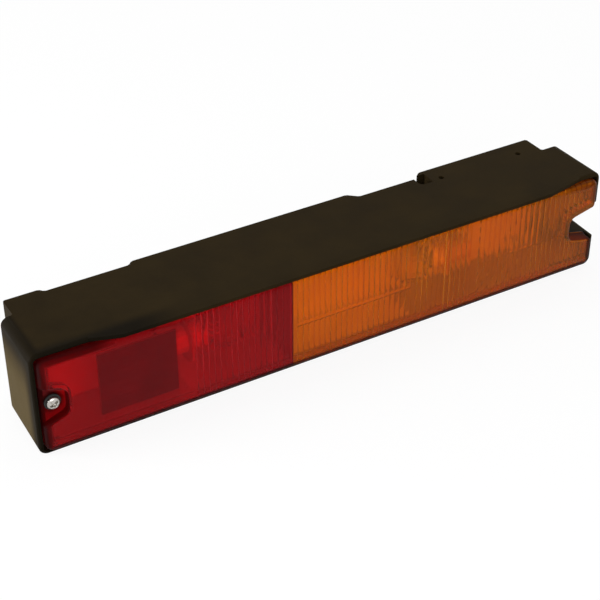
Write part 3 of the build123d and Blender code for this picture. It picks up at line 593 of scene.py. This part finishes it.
# Quads of a lens half: the outer wall, the inner wall turned round, and seams at foot, weld and open bay
def lensQuads(form, level, offset):
    columns, rows = level.shape
    openBay = form["floor"] is None
    pathColumn, pathRow = borderPath(columns, rows)
    grid = np.arange(level.size).reshape(columns, rows)
    side = level.size + np.arange(form["sideRows"] * len(pathRow)).reshape(form["sideRows"], -1)
    down = np.concatenate([grid[pathColumn, pathRow][None], side])
    hole = (level == level.max()) & openBay
    kept = ~(hole[:-1, :-1] & hole[1:, :-1] & hole[1:, 1:] & hole[:-1, 1:]).reshape(-1)
    pathHole = hole[pathColumn, pathRow]
    segment = ~(pathHole[:-1] & pathHole[1:])
    skirt = [ribbon(above, below)[segment] for above, below in zip(down[:-1], down[1:])]
    sheet = np.concatenate([gridQuads(grid)[kept]] + skirt)
    cap = np.concatenate([down[::-1, 0][:-1], grid[0], down[1:, -1]])
    seams = [ribbon(side[-1], side[-1] + offset)[segment], ribbon(cap, cap + offset)]
    if openBay:
        first = form["armRows"] + level.max()
        last = first + form["bayRows"] + 1
        tipColumn = columns - form["armColumns"] - 1
        tipRows = grid[tipColumn, first + 1:last]
        bay = np.concatenate([grid[tipColumn:, first][::-1], tipRows, grid[tipColumn:, last]])
        seams.append(ribbon(bay, bay + offset))
        for row in (first, last):
            ends = down[:, columns - 1 + row]
            seams.append(ribbon(ends, ends + offset))
    return np.concatenate([sheet, sheet[:, ::-1] + offset] + seams)


# A lens half as one closed surface: outer sheet, rounded edge and skirt, then the fluted inner sheet back to
# the weld
def makeLens(name, form, finish, replaced):
    floor = form["skirtEnd"] if form["floor"] is None else form["floor"]
    edge, skirt, foot = form["edgeRound"], form["skirt"], form["footRound"]
    height = form["skirtEnd"] - form["front"]
    turn = np.linspace(0, math.pi / 2, form["sideRows"] - 1)[1:]
    outerSteps = [(edge * (1 - math.sin(a)), edge * (1 - math.cos(a)) / height) for a in turn]
    outerSteps += [(0, form["footShare"]), (foot, 1)]
    innerSteps = [(skirt, part) for part in np.linspace(0, 1, form["sideRows"] + 1)[1:]]
    outerWall = {
        "base": form["front"], "low": floor, "inset": edge, "shift": 0, "lines": form["outerLines"],
        "steps": outerSteps, "fluted": False, "clearFrom": -2,
    }
    innerWall = {
        "base": form["front"] + form["wall"], "low": floor + form["floorWall"], "inset": skirt,
        "shift": skirt, "lines": form["innerLines"], "steps": innerSteps, "fluted": True, "clearFrom": 0,
    }
    outerSpots, outerShares, level = lensWall(form, outerWall)
    innerSpots, innerShares, level = lensWall(form, innerWall)
    quads = lensQuads(form, level, len(outerSpots))
    spots = np.concatenate([outerSpots, innerSpots])
    shares = np.concatenate([outerShares, innerShares])
    if form["tongue"]:
        boxes, faces = tongueBoxes(form["tongue"])
        quads = np.concatenate([quads, faces + len(spots)])
        spots = np.concatenate([spots, boxes])
        shares = np.concatenate([shares, np.full(len(boxes), form["tongue"]["shadeAndLight"])])
    return addPiece(name, spots, quads, finish, replaced, shares)


makeLens("redLensMoulding", redForm, finishes["red_lens"], "lens_red")
makeLens("amberLensMoulding", amberForm, finishes["amber_lens"], "lens_amber")


screwForm = {
    "along": screwAlong, "seat": 0.7, "headRadius": 3.8, "headHeight": 2.6, "crownRound": 1.5,
    "crownPower": 2.6, "slotHalf": 0.75, "slotTaper": 0.25, "slotLength": 2.6, "slotDepth": 1.8,
    "slotSide": (0.22, -0.12), "slotEnd": (0.2, -0.9), "turned": 0.5, "rimRound": 0.25, "shankRadius": 1.9,
    "shankEnd": 14.6, "tipRound": 0.6, "rings": 60, "ringSpread": 0.8, "spokes": 96,
}


# Pan head on polar rows: an arched crown with a tapered cross cut into it, then rim, under side and shank
def makeScrew(form):
    head, seat, shank, end = form["headRadius"], form["seat"], form["shankRadius"], form["shankEnd"]
    around = np.linspace(0, 2 * math.pi, form["spokes"], endpoint=False)[None, :]
    ring = np.linspace(0, 1, form["rings"])[:, None] ** form["ringSpread"] * head
    fall = form["crownRound"] * (1 - np.sqrt(np.maximum(1 - (ring / head) ** form["crownPower"], 0)))
    x, z = ring * np.cos(around + form["turned"]), ring * np.sin(around + form["turned"])
    a, b = np.abs(ring * np.cos(around)), np.abs(ring * np.sin(around))
    length = np.maximum(a, b)
    narrow = np.minimum(a, b) - form["slotHalf"] * (1 - form["slotTaper"] * length / form["slotLength"])
    slotStart, slotStop = (form["slotLength"] + step for step in form["slotEnd"])
    cut = softStep(*form["slotSide"], narrow) * softStep(slotStart, slotStop, length)
    depth = seat - form["headHeight"] + fall + cut * form["slotDepth"]
    low = np.array([
        (head, seat - form["rimRound"]), (head - form["rimRound"], seat), (shank, seat),
        (shank, end - form["tipRound"]), (shank - form["tipRound"], end), (0, end)])
    lowRadius, lowDepth = low[:, :1], low[:, 1:]
    x = np.concatenate([x, lowRadius * np.cos(around + form["turned"])])
    z = np.concatenate([z, lowRadius * np.sin(around + form["turned"])])
    depth = np.concatenate([depth, np.repeat(lowDepth, form["spokes"], axis=1)])
    grid = np.arange(x.size).reshape(x.shape)
    quads = gridQuads(np.concatenate([grid, grid[:, :1]], axis=1))
    return addPiece("lensScrewPanHead", placed(form["along"] + x, depth, z), quads,
                    finishes["plated_steel"], "lens_screw")


makeScrew(screwForm)


reflexForm = {"pitch": 2.9, "rise": 1.3, "perPitch": 6, "plate": 1.6}


# Reflex block: a flat face on the lens and a back of small four-sided peaks, each falling evenly to its edges
def makeReflex(form):
    low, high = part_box("reflex_reflector")
    along0, along1 = low.x / milli - leftEnd, high.x / milli - leftEnd
    front, up0, up1 = low.y / milli - rimPlane, low.z / milli, high.z / milli
    columns = round((along1 - along0) / form["pitch"]) * form["perPitch"] + 1
    rows = round((up1 - up0) / form["pitch"]) * form["perPitch"] + 1
    along = np.linspace(along0, along1, columns)[:, None]
    up = np.linspace(up0, up1, rows)[None, :]
    turnA = np.arange(columns)[:, None] / form["perPitch"]
    turnB = np.arange(rows)[None, :] / form["perPitch"]
    peak = 1 - np.maximum(np.abs(2 * (turnA % 1) - 1), np.abs(2 * (turnB % 1) - 1))
    back = front + form["plate"] + form["rise"] * peak
    spots = np.concatenate([placed(along, front + 0 * peak, up), placed(along, back, up)])
    count = columns * rows
    grid = np.arange(count).reshape(columns, rows)
    edge = np.concatenate([grid[:, 0], grid[-1, 1:], grid[-2::-1, -1], grid[0, -2::-1]])
    quads = np.concatenate([gridQuads(grid), gridQuads(grid)[:, ::-1] + count, ribbon(edge, edge + count)])
    return addPiece("reflexPrismBlock", spots, quads,
                    finishes["reflex_red"], "reflex_reflector")


makeReflex(reflexForm)


# Every solid that stays takes the finish of its kind. Gasket, sockets and bulb caps have their own.
finishOf = {
    "housing": "black_plastic", "lens_gasket": "painted_seal", "cable_grommet": "seal_rubber",
    "lens_screw_washer": "seal_rubber", "lens_screw_insert": "brass_parts", "mounting_inserts": "brass_parts",
    "red_bulb_carrier": "white_enamel", "amber_bulb_carrier": "white_enamel",
    "carrier_screws": "plated_steel", "stop_tail_socket": "socket_brass", "indicator_socket": "socket_brass",
    "stop_tail_insulator": "phenolic", "indicator_insulator": "phenolic", "stop_contact": "brass_parts",
    "tail_contact": "brass_parts", "indicator_contact": "brass_parts",
    "stop_tail_bulb_cap": "bulb_cap_brass", "indicator_bulb_cap": "bulb_cap_brass",
    "stop_tail_bulb_glass": "bulb_glass", "indicator_bulb_glass": "bulb_glass",
    "stop_tail_filaments": "filament_wire", "indicator_filament": "filament_wire",
    "terminal_block": "phenolic", "terminal_blades": "brass_parts", "terminal_block_screw": "plated_steel",
}
for node, finishName in finishOf.items():
    for place in nodes[node].material_slots:
        place.material = finishes[finishName]
print("solids dressed", len(finishOf))

edgeForm = {"width": 0.0006, "segments": 2, "angle": 28}  # metres, count, degrees
weld = nodes["housing"].modifiers.new("joined", "WELD")
weld.merge_threshold = meshForm["merge"]
soft = nodes["housing"].modifiers.new("softEdges", "BEVEL")
soft.width = edgeForm["width"]
soft.segments = edgeForm["segments"]
soft.limit_method = "ANGLE"
soft.angle_limit = math.radians(edgeForm["angle"])
soft.harden_normals = True


# Camera, mirror and refracted rays share one mask, so gloss and lenses see the same white as the camera
def seenMask(tree):
    path = tree.nodes.new("ShaderNodeLightPath")
    first = addMath(tree, "MAXIMUM", path.outputs["Is Camera Ray"], path.outputs["Is Glossy Ray"])
    return addMath(tree, "MAXIMUM", first, path.outputs["Is Transmission Ray"])


floorForm = {
    "level": cadBox[0].z, "half": 6.0, "shade": (0.85, 0.85, 0.85), "rough": 0.9, "glow": 1.0, "seen": 0.9,
}


# A wide square under the lamp: matt where light falls on it, mostly a white glow where it is seen
def makeFloor(form):
    reach, level = form["half"], form["level"]
    mesh = bpy.data.meshes.new("studioFloor")
    corners = [(-reach, -reach, level), (reach, -reach, level), (reach, reach, level), (-reach, reach, level)]
    mesh.from_pydata(corners, [], [(0, 1, 2, 3)])
    floor = bpy.data.objects.new("studioFloor", mesh)
    bpy.context.collection.objects.link(floor)
    finish = bpy.data.materials.new("paleFloor")
    finish.use_nodes = True
    tree = finish.node_tree
    shader = tree.nodes["Principled BSDF"]
    shader.inputs["Base Color"].default_value = (*form["shade"], 1)
    shader.inputs["Roughness"].default_value = form["rough"]
    shader.inputs["Specular IOR Level"].default_value = 0.0
    glow = tree.nodes.new("ShaderNodeEmission")
    glow.inputs["Strength"].default_value = form["glow"]
    share = addMath(tree, "MULTIPLY", seenMask(tree), form["seen"])
    mixSurface(tree, share, shader.outputs["BSDF"], glow.outputs["Emission"])
    mesh.materials.append(finish)


makeFloor(floorForm)


worldForm = {"fill": 0.28, "seen": 0.96}


# White all round: a weak fill for lighting, and bright where it is seen
def makeWorld(form):
    world = bpy.data.worlds.new("studioWorld")
    bpy.context.scene.world = world
    world.use_nodes = True
    tree = world.node_tree
    back = tree.nodes["Background"]
    strength = tree.nodes.new("ShaderNodeMapRange")
    strength.inputs["To Min"].default_value = form["fill"]
    strength.inputs["To Max"].default_value = form["seen"]
    tree.links.new(seenMask(tree), strength.inputs["Value"])
    tree.links.new(strength.outputs["Result"], back.inputs["Strength"])
    back.inputs["Color"].default_value = (1, 1, 1, 1)


makeWorld(worldForm)


lightForms = (
    {"name": "sideSoftbox", "at": (-1.15, 0.35, 0.2), "aim": (0, -0.02, 0), "size": 0.7, "watts": 28},
    {"name": "frontSoftbox", "at": (-0.2, -1.2, 0.8), "aim": (0.06, -0.03, 0), "size": 0.9, "watts": 12},
    {"name": "topSoftbox", "at": (0.4, 0.3, 1.2), "aim": (0.06, -0.02, 0), "size": 1.0, "watts": 8},
)
for form in lightForms:
    lamp = bpy.data.lights.new(form["name"], "AREA")
    lamp.shape = "SQUARE"
    lamp.size = form["size"]
    lamp.energy = form["watts"]
    box = bpy.data.objects.new(form["name"], lamp)
    bpy.context.collection.objects.link(box)
    box.location = form["at"]
    box.rotation_euler = (Vector(form["aim"]) - Vector(form["at"])).to_track_quat("-Z", "Y").to_euler()
    box.visible_camera = False
    box.visible_transmission = False
print("stage and lights set")


cameraForm = {
    "at": (-0.311814, -0.682171, 0.53057), "right": (0.86856, -0.49559, -0.00163),
    "upward": (0.29085, 0.50707, 0.81135), "lens": 93.796, "sensor": 36.0, "near": 0.01, "far": 50,
}


# The camera's own axes are given: right, upward, and towards the viewer as their cross product
def makeCamera(form):
    data = bpy.data.cameras.new("productCamera")
    data.lens = form["lens"]
    data.sensor_width = form["sensor"]
    data.clip_start = form["near"]
    data.clip_end = form["far"]
    camera = bpy.data.objects.new("productCamera", data)
    bpy.context.collection.objects.link(camera)
    right, upward = Vector(form["right"]).normalized(), Vector(form["upward"]).normalized()
    turned = Matrix((right, upward, right.cross(upward))).transposed()
    camera.matrix_world = Matrix.Translation(form["at"]) @ turned.to_4x4()
    bpy.context.scene.camera = camera


makeCamera(cameraForm)
bpy.context.scene.view_settings.view_transform = "Standard"
